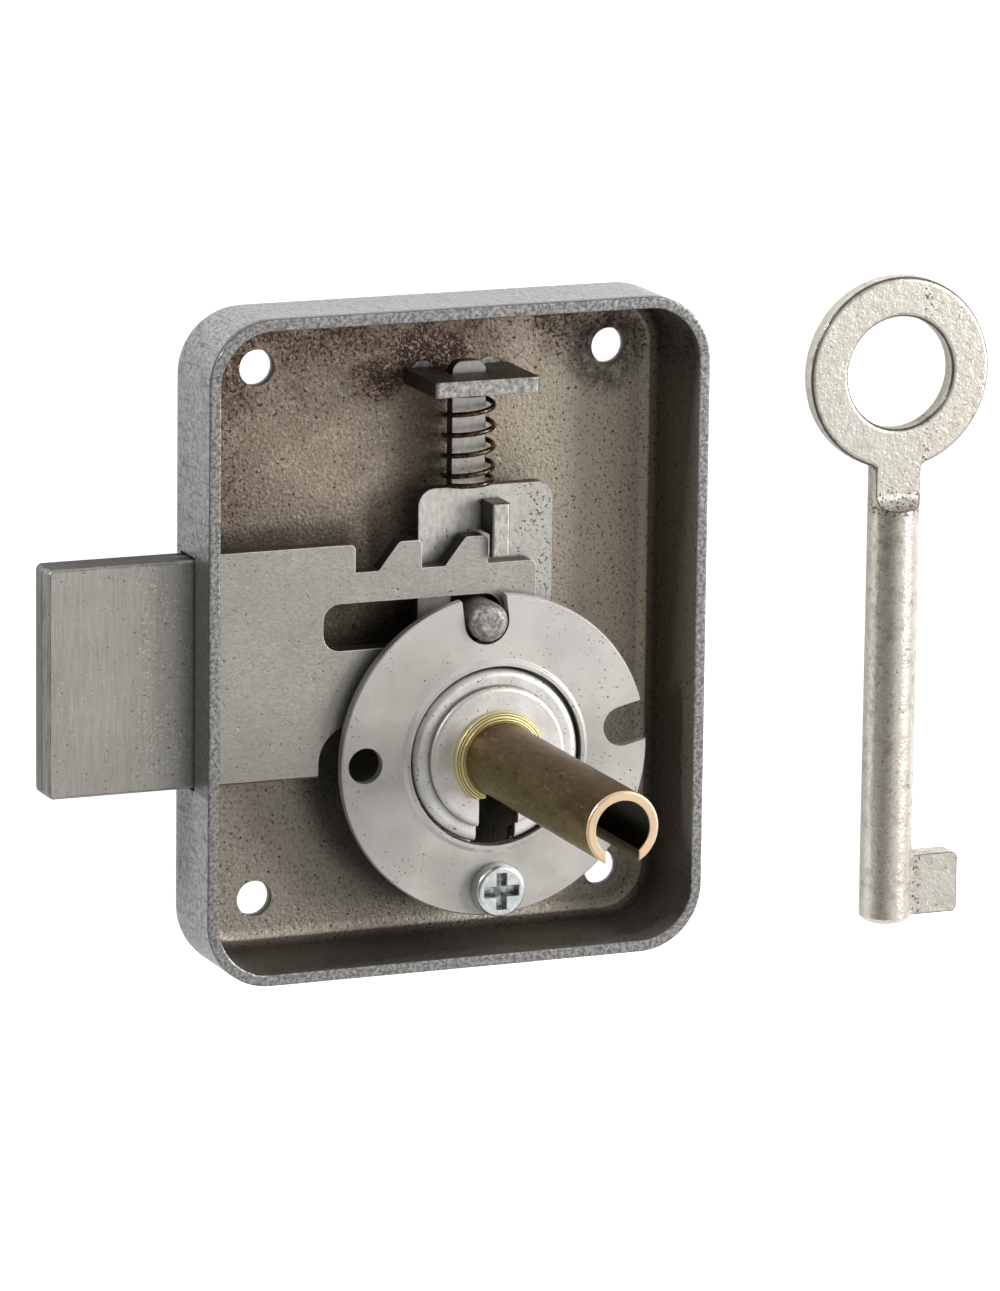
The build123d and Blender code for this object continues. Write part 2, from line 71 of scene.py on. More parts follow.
# A studio with white walls and one dark card beside the camera, up on the left.
# The camera sees plain white, and steel sees the card as the dark bands in its round parts.
world = bpy.data.worlds.new("studio")
bpy.context.scene.world = world
world.use_nodes = True
studio = world.node_tree
studio.nodes.clear()
direction = studio.nodes.new("ShaderNodeTexCoord")
towards_card = studio.nodes.new("ShaderNodeVectorMath")
towards_card.operation = "DOT_PRODUCT"
towards_card.inputs[1].default_value = (-0.63, 0.2, 0.75)
studio.links.new(direction.outputs["Generated"], towards_card.inputs[0])
card = studio.nodes.new("ShaderNodeMapRange")
card.interpolation_type = "SMOOTHSTEP"
card.inputs["From Min"].default_value = 0.6
card.inputs["From Max"].default_value = 0.93
card.inputs["To Min"].default_value = 0.72
card.inputs["To Max"].default_value = 0.1
studio.links.new(towards_card.outputs["Value"], card.inputs["Value"])
room_light = studio.nodes.new("ShaderNodeBackground")
room_light.inputs["Color"].default_value = (1, 1, 1, 1)
studio.links.new(card.outputs["Result"], room_light.inputs["Strength"])
white_wall = studio.nodes.new("ShaderNodeBackground")
white_wall.inputs["Color"].default_value = (1, 1, 1, 1)
white_wall.inputs["Strength"].default_value = 1.0
seen = studio.nodes.new("ShaderNodeLightPath")
walls = studio.nodes.new("ShaderNodeMixShader")
studio.links.new(seen.outputs["Is Camera Ray"], walls.inputs["Fac"])
studio.links.new(room_light.outputs["Background"], walls.inputs[1])
studio.links.new(white_wall.outputs["Background"], walls.inputs[2])
studio_out = studio.nodes.new("ShaderNodeOutputWorld")
studio.links.new(walls.outputs["Shader"], studio_out.inputs["Surface"])


# Two soft boxes: a large one on the right, and a weak one far off on the left, just above the table,
# which lights the outside of the walls but not the inside of the tray.
def soft_box(name, place, width, power, target=(0.0, 0.0, 0.006)):
    """A square area lamp that faces the lock."""
    lamp = bpy.data.lights.new(name, "AREA")
    lamp.shape = "SQUARE"
    lamp.size = width
    lamp.energy = power
    box = bpy.data.objects.new(name, lamp)
    box.location = place
    box.rotation_euler = (Vector(target) - Vector(place)).to_track_quat("-Z", "Y").to_euler()
    bpy.context.collection.objects.link(box)


soft_box("right soft box", (0.68, 0.12, 0.55), 0.4, 6.0)
soft_box("low left soft box", (-1.1, 0.8, 0.08), 0.14, 13.0)


# The floor is a white table top under the lock and its key.
# It keeps their soft shadow, and lights itself so that the camera sees it as white as the walls.
floor_mesh = bpy.data.meshes.new("floor")
floor_half = 3.0
floor_z = -0.00005
floor_corners = [
    (side_x * floor_half, side_y * floor_half, floor_z)
    for side_x, side_y in ((-1, -1), (1, -1), (1, 1), (-1, 1))
]
floor_mesh.from_pydata(floor_corners, [], [(0, 1, 2, 3)])
floor = bpy.data.objects.new("floor", floor_mesh)
bpy.context.collection.objects.link(floor)
floor_white = bpy.data.materials.new("white table top")
floor_white.use_nodes = True
table = floor_white.node_tree
table_face = table.nodes["Principled BSDF"]
table_face.inputs["Base Color"].default_value = (0.85, 0.85, 0.85, 1)
table_face.inputs["Roughness"].default_value = 0.9
table_face.inputs["Specular IOR Level"].default_value = 0.1
table_seen = table.nodes.new("ShaderNodeLightPath")
table_lift = table.nodes.new("ShaderNodeMath")
table_lift.operation = "MULTIPLY_ADD"
table_lift.inputs[1].default_value = 0.9
table_mirrored = table.nodes.new("ShaderNodeMath")
table_mirrored.operation = "MULTIPLY"
table_mirrored.inputs[1].default_value = 0.35
table.links.new(table_seen.outputs["Is Glossy Ray"], table_mirrored.inputs[0])
table.links.new(table_seen.outputs["Is Camera Ray"], table_lift.inputs[0])
table.links.new(table_mirrored.outputs[0], table_lift.inputs[2])
table_face.inputs["Emission Color"].default_value = (1, 1, 1, 1)
table.links.new(table_lift.outputs[0], table_face.inputs["Emission Strength"])
floor_mesh.materials.append(floor_white)


# The case is a tray drawn from 1.35 mm steel sheet and sprayed with a hammered grey paint, thin inside.
# Inside, the brown of the bare sheet shows through, with rust stains in its upper left corner.
def tone(red, green, blue):
    """A colour as it looks on a screen, 0 to 255, turned into the values a shader takes."""
    linear = []
    for part in (red, green, blue):
        value = part / 255
        linear.append(value / 12.92 if value <= 0.04045 else ((value + 0.055) / 1.055) ** 2.4)
    return (*linear, 1.0)


class Finish:
    """One piece's surface: a shader and the patterns that feed it, in millimetres on the piece."""

    def __init__(self, name, metallic, roughness):
        self.material = bpy.data.materials.new(name)
        self.material.use_nodes = True
        self.tree = self.material.node_tree
        self.shader = self.tree.nodes["Principled BSDF"]
        self.shader.inputs["Metallic"].default_value = metallic
        self.shader.inputs["Roughness"].default_value = roughness
        where = self.tree.nodes.new("ShaderNodeTexCoord")
        scale = self.tree.nodes.new("ShaderNodeVectorMath")
        scale.operation = "SCALE"
        scale.inputs["Scale"].default_value = 1000.0
        self.tree.links.new(where.outputs["Object"], scale.inputs[0])
        self.mm = scale.outputs["Vector"]

    def feed(self, source, socket):
        """Puts a number, a colour or another node's output into a socket."""
        if isinstance(source, bpy.types.NodeSocket):
            self.tree.links.new(source, socket)
        else:
            socket.default_value = source

    def maths(self, operation, a, b=0.0, c=0.0):
        """One step of arithmetic between numbers or patterns."""
        node = self.tree.nodes.new("ShaderNodeMath")
        node.operation = operation
        self.feed(a, node.inputs[0])
        self.feed(b, node.inputs[1])
        self.feed(c, node.inputs[2])
        return node.outputs[0]

    def times(self, a, b):
        return self.maths("MULTIPLY", a, b)

    def plus(self, a, b):
        return self.maths("ADD", a, b)

    def minus(self, a, b):
        return self.maths("SUBTRACT", a, b)

    def most(self, a, b):
        return self.maths("MAXIMUM", a, b)

    def absolute(self, a):
        return self.maths("ABSOLUTE", a)

    def vector(self, operation, a, b=(0.0, 0.0, 0.0)):
        """One step of arithmetic between points."""
        node = self.tree.nodes.new("ShaderNodeVectorMath")
        node.operation = operation
        self.feed(a, node.inputs[0])
        self.feed(b, node.inputs[1])
        return node.outputs["Value" if operation == "LENGTH" else "Vector"]

    def axis(self, letter):
        """The height along X, Y or Z, in millimetres."""
        node = self.tree.nodes.new("ShaderNodeSeparateXYZ")
        self.tree.links.new(self.mm, node.inputs[0])
        return node.outputs[letter]

    def grain(self, size, detail=2.0, rough=0.5, stretch=(1.0, 1.0, 1.0), seed=0.0):
        """Soft noise whose blobs are about this many millimetres across."""
        node = self.tree.nodes.new("ShaderNodeTexNoise")
        node.noise_dimensions = "4D"
        place = self.vector("MULTIPLY", self.mm, stretch)
        self.tree.links.new(place, node.inputs["Vector"])
        node.inputs["W"].default_value = seed
        node.inputs["Scale"].default_value = 1.0 / size
        node.inputs["Detail"].default_value = detail
        node.inputs["Roughness"].default_value = rough
        return node.outputs[0]

    def between(self, value, low, high, at_low=0.0, at_high=1.0):
        """A soft step: at_low up to low, at_high from high on."""
        node = self.tree.nodes.new("ShaderNodeMapRange")
        node.interpolation_type = "SMOOTHSTEP"
        self.feed(value, node.inputs["Value"])
        node.inputs["From Min"].default_value = low
        node.inputs["From Max"].default_value = high
        node.inputs["To Min"].default_value = at_low
        node.inputs["To Max"].default_value = at_high
        return node.outputs["Result"]

    def along(self, letter, low, high, at_low=0.0, at_high=1.0):
        """A soft step along X, Y or Z, in millimetres."""
        return self.between(self.axis(letter), low, high, at_low, at_high)

    def away_from(self, place, reach=(1.0, 1.0)):
        """Distance in plan from a place, in millimetres or as a share of a reach in X and Y."""
        offset = self.vector("SUBTRACT", self.mm, (*place, 0.0))
        return self.vector("LENGTH", self.vector("MULTIPLY", offset, (1 / reach[0], 1 / reach[1], 0.0)))

    def facing(self, letter):
        """How far the surface faces along X, Y or Z, from -1 to 1."""
        where = self.tree.nodes.new("ShaderNodeTexCoord")
        node = self.tree.nodes.new("ShaderNodeSeparateXYZ")
        self.tree.links.new(where.outputs["Normal"], node.inputs[0])
        return node.outputs[letter]

    def upright(self, flat, steep):
        """Nothing where the surface faces along Z, and all of it where its normal leans away past steep."""
        return self.between(self.absolute(self.facing("Z")), flat, steep)

    def spots(self, size, share, radius, seed=0.0):
        """Round spots of one radius. A share of the cells, each of this size, has one."""
        node = self.tree.nodes.new("ShaderNodeTexVoronoi")
        place = self.vector("ADD", self.mm, (seed, seed, seed))
        self.tree.links.new(place, node.inputs["Vector"])
        node.inputs["Scale"].default_value = 1.0 / size
        luck = self.tree.nodes.new("ShaderNodeSeparateColor")
        self.tree.links.new(node.outputs["Color"], luck.inputs[0])
        chosen = self.maths("LESS_THAN", luck.outputs[0], share)
        round_spot = self.between(node.outputs["Distance"], radius / size, 0.6 * radius / size)
        return self.maths("MULTIPLY", chosen, round_spot)

    def specks(self, size, amount, seed=0.0):
        """Ragged specks about half this size. The amount, 0 to 1, says how thickly they lie."""
        noise = self.grain(size, 2.0, 0.55, seed=seed)
        return self.between(self.maths("MULTIPLY_ADD", amount, 0.3, noise), 0.67, 0.73)

    def edges(self, width):
        """The sharp edges, as a line of about this many millimetres on both sides of each."""
        soft = self.tree.nodes.new("ShaderNodeBevel")
        soft.samples = 8
        soft.inputs["Radius"].default_value = width * 0.001
        own = self.tree.nodes.new("ShaderNodeNewGeometry")
        node = self.tree.nodes.new("ShaderNodeVectorMath")
        node.operation = "DOT_PRODUCT"
        self.tree.links.new(soft.outputs["Normal"], node.inputs[0])
        self.tree.links.new(own.outputs["Normal"], node.inputs[1])
        return self.between(node.outputs["Value"], 0.995, 0.93)

    def seam_shade(self, reach):
        """Painted shade: dark where another surface stands within this many millimetres: corners, gaps and
        undersides.
        """
        node = self.tree.nodes.new("ShaderNodeAmbientOcclusion")
        node.samples = 4
        node.inputs["Distance"].default_value = reach * 0.001
        return self.between(node.outputs["AO"], 0.75, 0.3)

    def blend(self, share, first, second):
        """A colour between two others."""
        node = self.tree.nodes.new("ShaderNodeMix")
        node.data_type = "RGBA"
        self.feed(share, node.inputs[0])
        self.feed(first, node.inputs[6])
        self.feed(second, node.inputs[7])
        return node.outputs[2]

    def dents(self, *layers, edge=0.12):
        """Softened edges of one radius, then bumps: each layer is a pattern and its depth in mm."""
        soft_edge = self.tree.nodes.new("ShaderNodeBevel")
        soft_edge.samples = 4
        soft_edge.inputs["Radius"].default_value = edge * 0.001
        last = soft_edge.outputs["Normal"]
        for pattern, depth in layers:
            node = self.tree.nodes.new("ShaderNodeBump")
            node.inputs["Strength"].default_value = 1.0
            node.inputs["Distance"].default_value = depth * 0.001
            self.tree.links.new(pattern, node.inputs["Height"])
            self.tree.links.new(last, node.inputs["Normal"])
            last = node.outputs["Normal"]
        self.tree.links.new(last, self.shader.inputs["Normal"])

    def colour(self, source):
        self.feed(source, self.shader.inputs["Base Color"])

    def roughness(self, source):
        self.feed(source, self.shader.inputs["Roughness"])

    def put_on(self, node_name):
        """Gives this surface to one piece of the frame."""
        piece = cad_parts[node_name]
        piece.data.materials.clear()
        piece.data.materials.append(self.material)
        return piece


paint = Finish("hammered grey paint", 0.6, 0.45)
case_low, case_high = [corner * 1000 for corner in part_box("case")]
case_middle = (case_low + case_high) / 2
sheet = 1.35
outer_corner = 7.5
inner_corner = outer_corner - sheet
rim_z = case_high.z
corner_centre = case_high - case_middle - Vector((outer_corner, outer_corner, 0.0))
from_middle = paint.vector("ABSOLUTE", paint.vector("SUBTRACT", paint.mm, case_middle))
beyond_corner = paint.vector("SUBTRACT", from_middle, corner_centre)
beyond_corner = paint.vector("MAXIMUM", paint.vector("MULTIPLY", beyond_corner, (1, 1, 0)), (0, 0, 0))
wall_distance = paint.vector("LENGTH", beyond_corner)
height = paint.axis("Z")
inside = paint.between(wall_distance, inner_corner + 0.12, inner_corner + 0.04)
inside = paint.times(inside, paint.between(height, 0.5, 0.7))

# Outside, light and dark flecks with short drips.
fleck = paint.grain(0.42, 3.0, 0.6)
mottle = paint.grain(1.6, 2.0, 0.5, seed=3.0)
drips = paint.grain(0.35, 2.0, 0.6, stretch=(1.0, 1.0, 0.12), seed=9.0)
wall_tone = paint.blend(paint.between(fleck, 0.38, 0.62), tone(126, 126, 127), tone(172, 172, 173))
wall_tone = paint.blend(paint.between(mottle, 0.4, 0.7, 0.0, 0.35), wall_tone, tone(142, 143, 146))
wall_tone = paint.blend(paint.between(drips, 0.44, 0.34, 0.0, 0.65), wall_tone, tone(84, 84, 84))
wall_tone = paint.blend(paint.times(paint.specks(0.42, 0.26, 5.0), 0.65), wall_tone, tone(70, 69, 68))
# the wall over the bolt is painted dark: painted shade from the bolt head
bolt_y = -2.2
bolt_face_z = 8.5
wall_shade_over_bolt = paint.between(paint.absolute(paint.minus(paint.axis("Y"), bolt_y)), 13.6, 13.2)
wall_shade_over_bolt = paint.times(wall_shade_over_bolt, paint.between(height, bolt_face_z, bolt_face_z + 0.4))
wall_shade_over_bolt = paint.times(wall_shade_over_bolt, paint.along("X", case_low.x + 0.4, case_low.x + 0.1))
wall_tone = paint.blend(paint.times(wall_shade_over_bolt, 0.8), wall_tone, tone(84, 82, 77))
# the rim is paler, with a painted shadow line below it that is wider on the upper wall
rim = paint.between(height, rim_z - 0.3, rim_z - 0.15)
rim_tone = paint.blend(paint.between(fleck, 0.38, 0.62), tone(110, 109, 108), tone(168, 167, 165))
line_start = paint.maths("MULTIPLY_ADD", paint.most(paint.facing("Y"), 0.0), 0.7, height)
rim_shadow_line = paint.times(
    paint.between(line_start, rim_z - 0.4, rim_z - 0.25),
    paint.between(height, rim_z - 0.04, rim_z - 0.12),
)
wall_tone = paint.blend(rim, wall_tone, rim_tone)
wall_tone = paint.blend(paint.times(rim_shadow_line, 0.92), wall_tone, tone(58, 57, 56))

# Inside, bare sheet: olive brown with a fine orange peel, made paler to the right and towards the bottom by
# painted light.
patch = paint.grain(9.0, 3.0, 0.55, seed=8.0)
peel = paint.grain(0.42, 2.0, 0.6, seed=5.0)
bare_tone = paint.blend(paint.between(patch, 0.35, 0.65), tone(130, 118, 103), tone(154, 142, 126))
# painted light: paler to the right and towards the bottom
bare_tone = paint.blend(paint.along("X", 2.0, 22.0, 0.0, 0.85), bare_tone, tone(206, 195, 177))
bare_tone = paint.blend(paint.along("Y", -8.0, -20.0, 0.0, 0.55), bare_tone, tone(180, 173, 162))
bare_tone = paint.blend(paint.between(peel, 0.52, 0.7, 0.0, 0.35), bare_tone, tone(206, 197, 180))
bare_tone = paint.blend(paint.between(peel, 0.46, 0.32, 0.0, 0.45), bare_tone, tone(66, 56, 47))

# Rust sits in the upper left corner, along the upper wall, on the left and behind the bracket.
grime = paint.between(paint.away_from((-29.0, 37.0), reach=(27.8, 21.7)), 1.0, 0.2)
grime = paint.most(grime, paint.along("Y", 26.0, 35.0, 0.0, 0.9))
left_side = paint.times(paint.along("X", -18.0, -29.5, 0.0, 0.7), paint.along("Y", 4.0, 16.0))
grime = paint.most(grime, left_side)
for place, reach, thickness in (
    ((-0.5, 31.5), (7.14, 5.0), 1.3),
    ((-7.0, 28.5), (5.0, 3.57), 1.1),
):
    stain = paint.between(paint.away_from(place, reach), 1.0, 0.4, 0.0, thickness)
    grime = paint.most(grime, stain)
grime = paint.times(grime, paint.between(paint.grain(5.0, 3.0, 0.6, seed=2.0), 0.34, 0.56, 0.25, 1.0))
rust = paint.times(grime, paint.between(paint.grain(0.9, 4.0, 0.7, seed=4.0), 0.4, 0.56))
bare_tone = paint.blend(paint.times(grime, 0.45), bare_tone, tone(104, 74, 58))
bare_tone = paint.blend(paint.times(rust, 0.75), bare_tone, tone(80, 52, 40))
# pepper lies everywhere, and thickest on the rust
pepper = paint.specks(0.45, paint.maths("MULTIPLY_ADD", grime, 0.42, 0.2))
pepper = paint.most(pepper, paint.spots(1.0, 0.14, 0.18, seed=7.0))
bare_tone = paint.blend(paint.times(pepper, 0.92), bare_tone, tone(42, 30, 24))
fine_rust = paint.specks(0.3, paint.times(grime, 0.5), 6.0)
bare_tone = paint.blend(paint.times(fine_rust, 0.75), bare_tone, tone(50, 34, 27))
rust_salt = paint.specks(0.3, paint.times(grime, 0.3), 12.0)
bare_tone = paint.blend(paint.times(rust_salt, 0.6), bare_tone, tone(190, 164, 148))
# soot round the upper right fixing hole
soot = paint.between(paint.away_from((20.6, 29.6), reach=(5.88, 5.88)), 1.0, 0.5)
soot_grain = paint.grain(0.8, 4.0, 0.7, seed=14.0)
soot = paint.times(soot, paint.between(soot_grain, 0.36, 0.6, 0.1, 0.75))
bare_tone = paint.blend(soot, bare_tone, tone(62, 60, 58))
# painted shadow above the bolt, and painted shade on all that stands upright
beside_bolt = paint.times(paint.along("Y", 13.4, 11.4), paint.along("Y", 0.0, 4.0))
beside_bolt = paint.times(beside_bolt, paint.along("X", -9.0, -11.0))
bare_tone = paint.blend(paint.times(beside_bolt, 0.55), bare_tone, tone(56, 52, 44))
bare_tone = paint.blend(paint.times(paint.upright(0.75, 0.35), 0.65), bare_tone, tone(42, 40, 33))
# the bend into the walls starts with a painted highlight line, and has painted shade above it
facing_up = paint.absolute(paint.facing("Z"))
bend = paint.times(paint.between(facing_up, 0.88, 0.82), paint.between(facing_up, 0.1, 0.6, 0.2, 1.0))
bare_tone = paint.blend(paint.times(bend, 0.7), bare_tone, tone(44, 41, 34))
bend_line = paint.times(paint.between(facing_up, 0.95, 0.93), paint.between(facing_up, 0.86, 0.89))
bare_tone = paint.blend(paint.times(bend_line, 0.4), bare_tone, tone(196, 186, 168))
# painted shade under and beside the disc, and painted shade in the seams
shade_under_disc = paint.between(paint.away_from((2.2, -15.0)), 20.0, 16.0)
shade_under_disc = paint.times(shade_under_disc, paint.between(height, 3.0, 2.5))
bare_tone = paint.blend(paint.times(shade_under_disc, 0.8), bare_tone, tone(30, 28, 22))
bare_tone = paint.blend(paint.times(paint.seam_shade(1.2), 0.6), bare_tone, tone(34, 28, 22))

paint.colour(paint.blend(inside, wall_tone, bare_tone))
paint.roughness(paint.blend(inside, tone(148, 148, 148), tone(186, 186, 186)))
peel_depth = paint.times(peel, inside)
hammer_depth = paint.times(paint.grain(0.9, 2.0, 0.5, seed=1.0), paint.minus(1.0, inside))
hammer_depth = paint.times(hammer_depth, paint.between(height, rim_z - 0.3, rim_z - 0.15, 1.0, 0.45))
paint.dents((hammer_depth, 0.16), (peel_depth, 0.08), (fleck, 0.03), edge=0.2)
paint.put_on("case")


# The bolt is blanked from 2.2 mm steel and left bare. The head was linished up and down.
# A second plate, 2 mm thick, is riveted behind the head, with a dark seam between them.
bolt_low, bolt_high = [corner * 1000 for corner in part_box("bolt_front_plate")]
bolt_tip = bolt_low.x
bolt_seam = bolt_low.z
for node_name, slot_name, shade_by in (
    ("bolt_front_plate", "bolt_steel", 1.0),
    ("bolt_packing_plate", "packing_steel", 0.86),
):
    steel = Finish(node_name.replace("_", " ") + " steel", 0.85, 0.4)
    head = steel.along("X", -32.5, -33.5)
    up_and_down = steel.grain(0.2, 3.0, 0.7, stretch=(1.0, 0.05, 1.0))
    along_bolt = steel.grain(0.22, 3.0, 0.65, stretch=(0.5, 1.0, 1.0), seed=4.0)
    cloud = steel.grain(5.0, 3.0, 0.5, seed=6.0)
    light = [part * shade_by for part in (176, 173, 166)]
    shade = [part * shade_by for part in (158, 155, 148)]
    lines = steel.blend(head, along_bolt, up_and_down)
    steel_tone = steel.blend(steel.between(lines, 0.3, 0.7), tone(*shade), tone(*light))
    steel_tone = steel.blend(steel.between(cloud, 0.35, 0.7, 0.0, 0.35), steel_tone, tone(150, 146, 138))
    # bright flecks, painted glints thickest where the case wall rubs, and a few pits
    from_wall = steel.absolute(steel.plus(steel.axis("X"), 35.0))
    thickly = steel.between(from_wall, 5.0, 1.5, 0.08, 0.42)
    thickly = steel.times(thickly, steel.between(cloud, 0.36, 0.6, 0.35, 1.0))
    flecks = steel.times(steel.specks(0.24, thickly, 3.0), 0.5)
    steel_tone = steel.blend(flecks, steel_tone, tone(214, 211, 202))
    pits = steel.most(steel.specks(0.4, 0.1, 8.0), steel.spots(3.0, 0.4, 0.2, seed=5.0))
    steel_tone = steel.blend(steel.times(pits, 0.55), steel_tone, tone(84, 79, 72))
    # sheared faces and gaps get painted shade, less on the tip, and the seam between the plates is darkest
    tip_face = steel.along("X", bolt_tip + 0.5, bolt_tip + 0.3)
    tip_face = steel.times(tip_face, steel.between(up_and_down, 0.4, 0.6, 0.3, 0.75))
    cut = steel.times(steel.upright(0.8, 0.4), steel.minus(1.0, tip_face))
    dark = steel.most(steel.times(cut, 0.92), steel.times(steel.seam_shade(0.8), 0.7))
    from_seam = steel.absolute(steel.minus(steel.axis("Z"), bolt_seam))
    dark = steel.most(dark, steel.between(from_seam, 0.22, 0.12, 0.0, 0.95))
    # the burr is dark round the head, and inside the case its edges carry a painted highlight
    uneven = steel.between(steel.grain(2.5, 2.0, 0.6, seed=11.0), 0.4, 0.6, 0.35, 0.95)
    burr = steel.times(steel.edges(0.28), uneven)
    dark = steel.most(dark, steel.times(burr, head))
    steel_tone = steel.blend(dark, steel_tone, tone(48, 46, 41))
    edge_highlight = steel.times(steel.times(burr, steel.minus(1.0, head)), 0.7)
    steel.colour(steel.blend(edge_highlight, steel_tone, tone(232, 230, 224)))
    steel.roughness(steel.between(lines, 0.2, 0.8, 0.34, 0.46))
    steel.dents((lines, 0.01), (pits, -0.03))
    steel.put_on(node_name)


# The tumbler is a thin steel plate on the guide post, pushed down by its spring and lifted by the key.
# Its stump is a sheared bar, riveted into the plate.
for node_name, slot_name, light, shade in (
    ("tumbler", "tumbler_steel", (206, 203, 197), (182, 179, 173)),
    ("tumbler_stump", "stump_steel", (206, 203, 196), (158, 154, 147)),
):
    plate = Finish(node_name.replace("_", " ") + " steel", 0.85, 0.42)
    rolled = plate.grain(0.5, 3.0, 0.6, stretch=(1.0, 0.5, 1.0))
    plate_tone = plate.blend(plate.between(rolled, 0.3, 0.7), tone(*shade), tone(*light))
    clouds = plate.grain(3.0, 3.0, 0.55, seed=3.0)
    # the part right of the bolt is duller and has more pits
    thickly = plate.between(clouds, 0.42, 0.64, 0.0, 0.22)
    thickly = plate.plus(thickly, plate.along("X", 4.0, 12.0, 0.0, 0.22))
    pits = plate.most(plate.specks(0.38, thickly), plate.spots(1.6, 0.3, 0.18, seed=6.0))
    plate_tone = plate.blend(plate.along("X", 4.0, 10.0, 0.0, 0.35), plate_tone, tone(150, 147, 140))
    # the tongue, above the plate's shoulders, is darker
    plate_tone = plate.blend(plate.along("Y", 16.6, 17.4, 0.0, 0.45), plate_tone, tone(120, 118, 114))
    plate_tone = plate.blend(plate.times(pits, 0.75), plate_tone, tone(74, 69, 62))
    # painted shade on the sides and in the gaps, and a dark line on the edges
    dark = plate.most(plate.times(plate.upright(0.8, 0.4), 0.85), plate.times(plate.seam_shade(0.8), 0.7))
    dark = plate.most(dark, plate.times(plate.edges(0.22), 0.65))
    plate.colour(plate.blend(dark, plate_tone, tone(56, 53, 48)))
    plate.dents((rolled, 0.008), (pits, -0.03))
    plate.put_on(node_name)


# The tumbler's spring is hard-drawn steel wire, 0.6 mm thick, with an oily bronze skin.
# The shown coil is a copy of the frame's own, with a mesh of its own, hung on the case.
wire = Finish("oiled spring wire", 0.9, 0.3)
wire_skin = wire.grain(0.5, 2.0, 0.5)
wire.colour(wire.blend(wire.between(wire_skin, 0.35, 0.65), tone(50, 41, 31), tone(112, 92, 68)))
frame_coil = wire.put_on("tumbler_spring")
coil = bpy.data.objects.new("coil_spring", frame_coil.data.copy())
bpy.context.collection.objects.link(coil)
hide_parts("tumbler_spring")
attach(coil, "case")
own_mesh(coil)


# The bracket is a sheared strip of the same steel, stood on edge and staked through the case.
# Its broad side is dark with oil and with painted shade, and its sheared front edge is bright.
bracket = Finish("sheared bracket steel", 0.6, 0.5)
sheared = bracket.grain(0.4, 3.0, 0.6)
oily_shaded_tone = bracket.blend(bracket.between(sheared, 0.35, 0.68), tone(62, 56, 50), tone(116, 110, 102))
edge_tone = bracket.blend(bracket.between(sheared, 0.35, 0.68), tone(118, 115, 110), tone(182, 179, 173))
bright_edge = bracket.between(bracket.facing("Z"), 0.3, 0.7)
bracket.colour(bracket.blend(bright_edge, oily_shaded_tone, edge_tone))
bracket.dents((sheared, 0.03))
bracket.put_on("spring_bracket")


# The guide post and the threaded pillar are turned steel, riveted into the case.
# Their skin is dull and even.
for node_name, slot_name in (("guide_post", "post_steel"), ("screw_pillar", "pillar_steel")):
    turned = Finish(node_name.replace("_", " ") + " turned steel", 0.6, 0.5)
    dull = turned.grain(0.4, 3.0, 0.65)
    turned.colour(turned.blend(turned.between(dull, 0.35, 0.65), tone(118, 115, 110), tone(178, 175, 168)))
    turned.dents((dull, 0.04))
    turned.put_on(node_name)


# The cover disc is stamped from plated sheet with a raised lip round the rotor's opening.
# The plating is bright, with tiny black pits, and brightest on the break of its edge.
disc = Finish("plated disc", 0.8, 0.42)
disc_cloud = disc.grain(7.0, 4.0, 0.55)
disc_tone = disc.blend(disc.between(disc_cloud, 0.35, 0.68), tone(177, 174, 168), tone(194, 191, 185))
# painted sheen: brighter towards the top
disc_tone = disc.blend(disc.along("Y", -16.0, 4.0, 0.0, 0.7), disc_tone, tone(206, 204, 199))
thickly = disc.between(disc.grain(4.0, 2.0, 0.5, seed=7.0), 0.46, 0.64, 0.0, 0.2)
disc_pits = disc.most(disc.specks(0.36, thickly), disc.spots(3.4, 0.35, 0.2, seed=4.0))
disc_tone = disc.blend(disc.times(disc_pits, 0.8), disc_tone, tone(62, 58, 52))
disc_tone = disc.blend(disc.times(disc.upright(0.97, 0.9), 0.8), disc_tone, tone(240, 238, 233))
# painted shade in the gaps
disc.colour(disc.blend(disc.times(disc.seam_shade(0.7), 0.8), disc_tone, tone(72, 68, 62)))
disc.roughness(disc.between(disc_cloud, 0.3, 0.7, 0.38, 0.48))
disc.dents((disc.grain(0.3, 3.0, 0.6), 0.006), (disc_pits, -0.04), edge=0.05)
disc.put_on("cover_disc")


# The rotor is pressed from plated sheet in two steps and holds the tube. It turns in the disc's opening.
# Painted shade darkens its steps and gaps.
rotor = Finish("plated rotor", 0.7, 0.47)
rotor_cloud = rotor.grain(3.0, 4.0, 0.55)
rotor_tone = rotor.blend(rotor.between(rotor_cloud, 0.35, 0.68), tone(206, 203, 197), tone(226, 224, 219))
rotor_tone = rotor.blend(rotor.times(rotor.specks(0.4, 0.16), 0.75), rotor_tone, tone(70, 66, 60))
step_shade = rotor.times(rotor.most(rotor.upright(0.6, 0.3), rotor.seam_shade(0.6)), 0.66)
rotor.colour(rotor.blend(step_shade, rotor_tone, tone(52, 49, 43)))
rotor.dents((rotor.grain(0.35, 3.0, 0.6), 0.01))
rotor.put_on("rotor")


# The key tube is rolled from steel strip, so its slot is the open seam. It is zinc plated and passivated
# yellow, with olive bands and a painted rosy sheen on its upper side; its cut end is cleaner and paler.
tube = Finish("yellow passivated zinc", 0.85, 0.36)
key_axis = (4.1, -13.8)
tube_radius = 4.25
tube_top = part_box("key_tube")[1].z * 1000
collar_top = 13.6
bands = tube.grain(4.5, 3.0, 0.5, stretch=(1.0, 1.0, 0.4))
tube_tone = tube.blend(tube.between(bands, 0.32, 0.52), tone(78, 66, 40), tone(122, 106, 68))
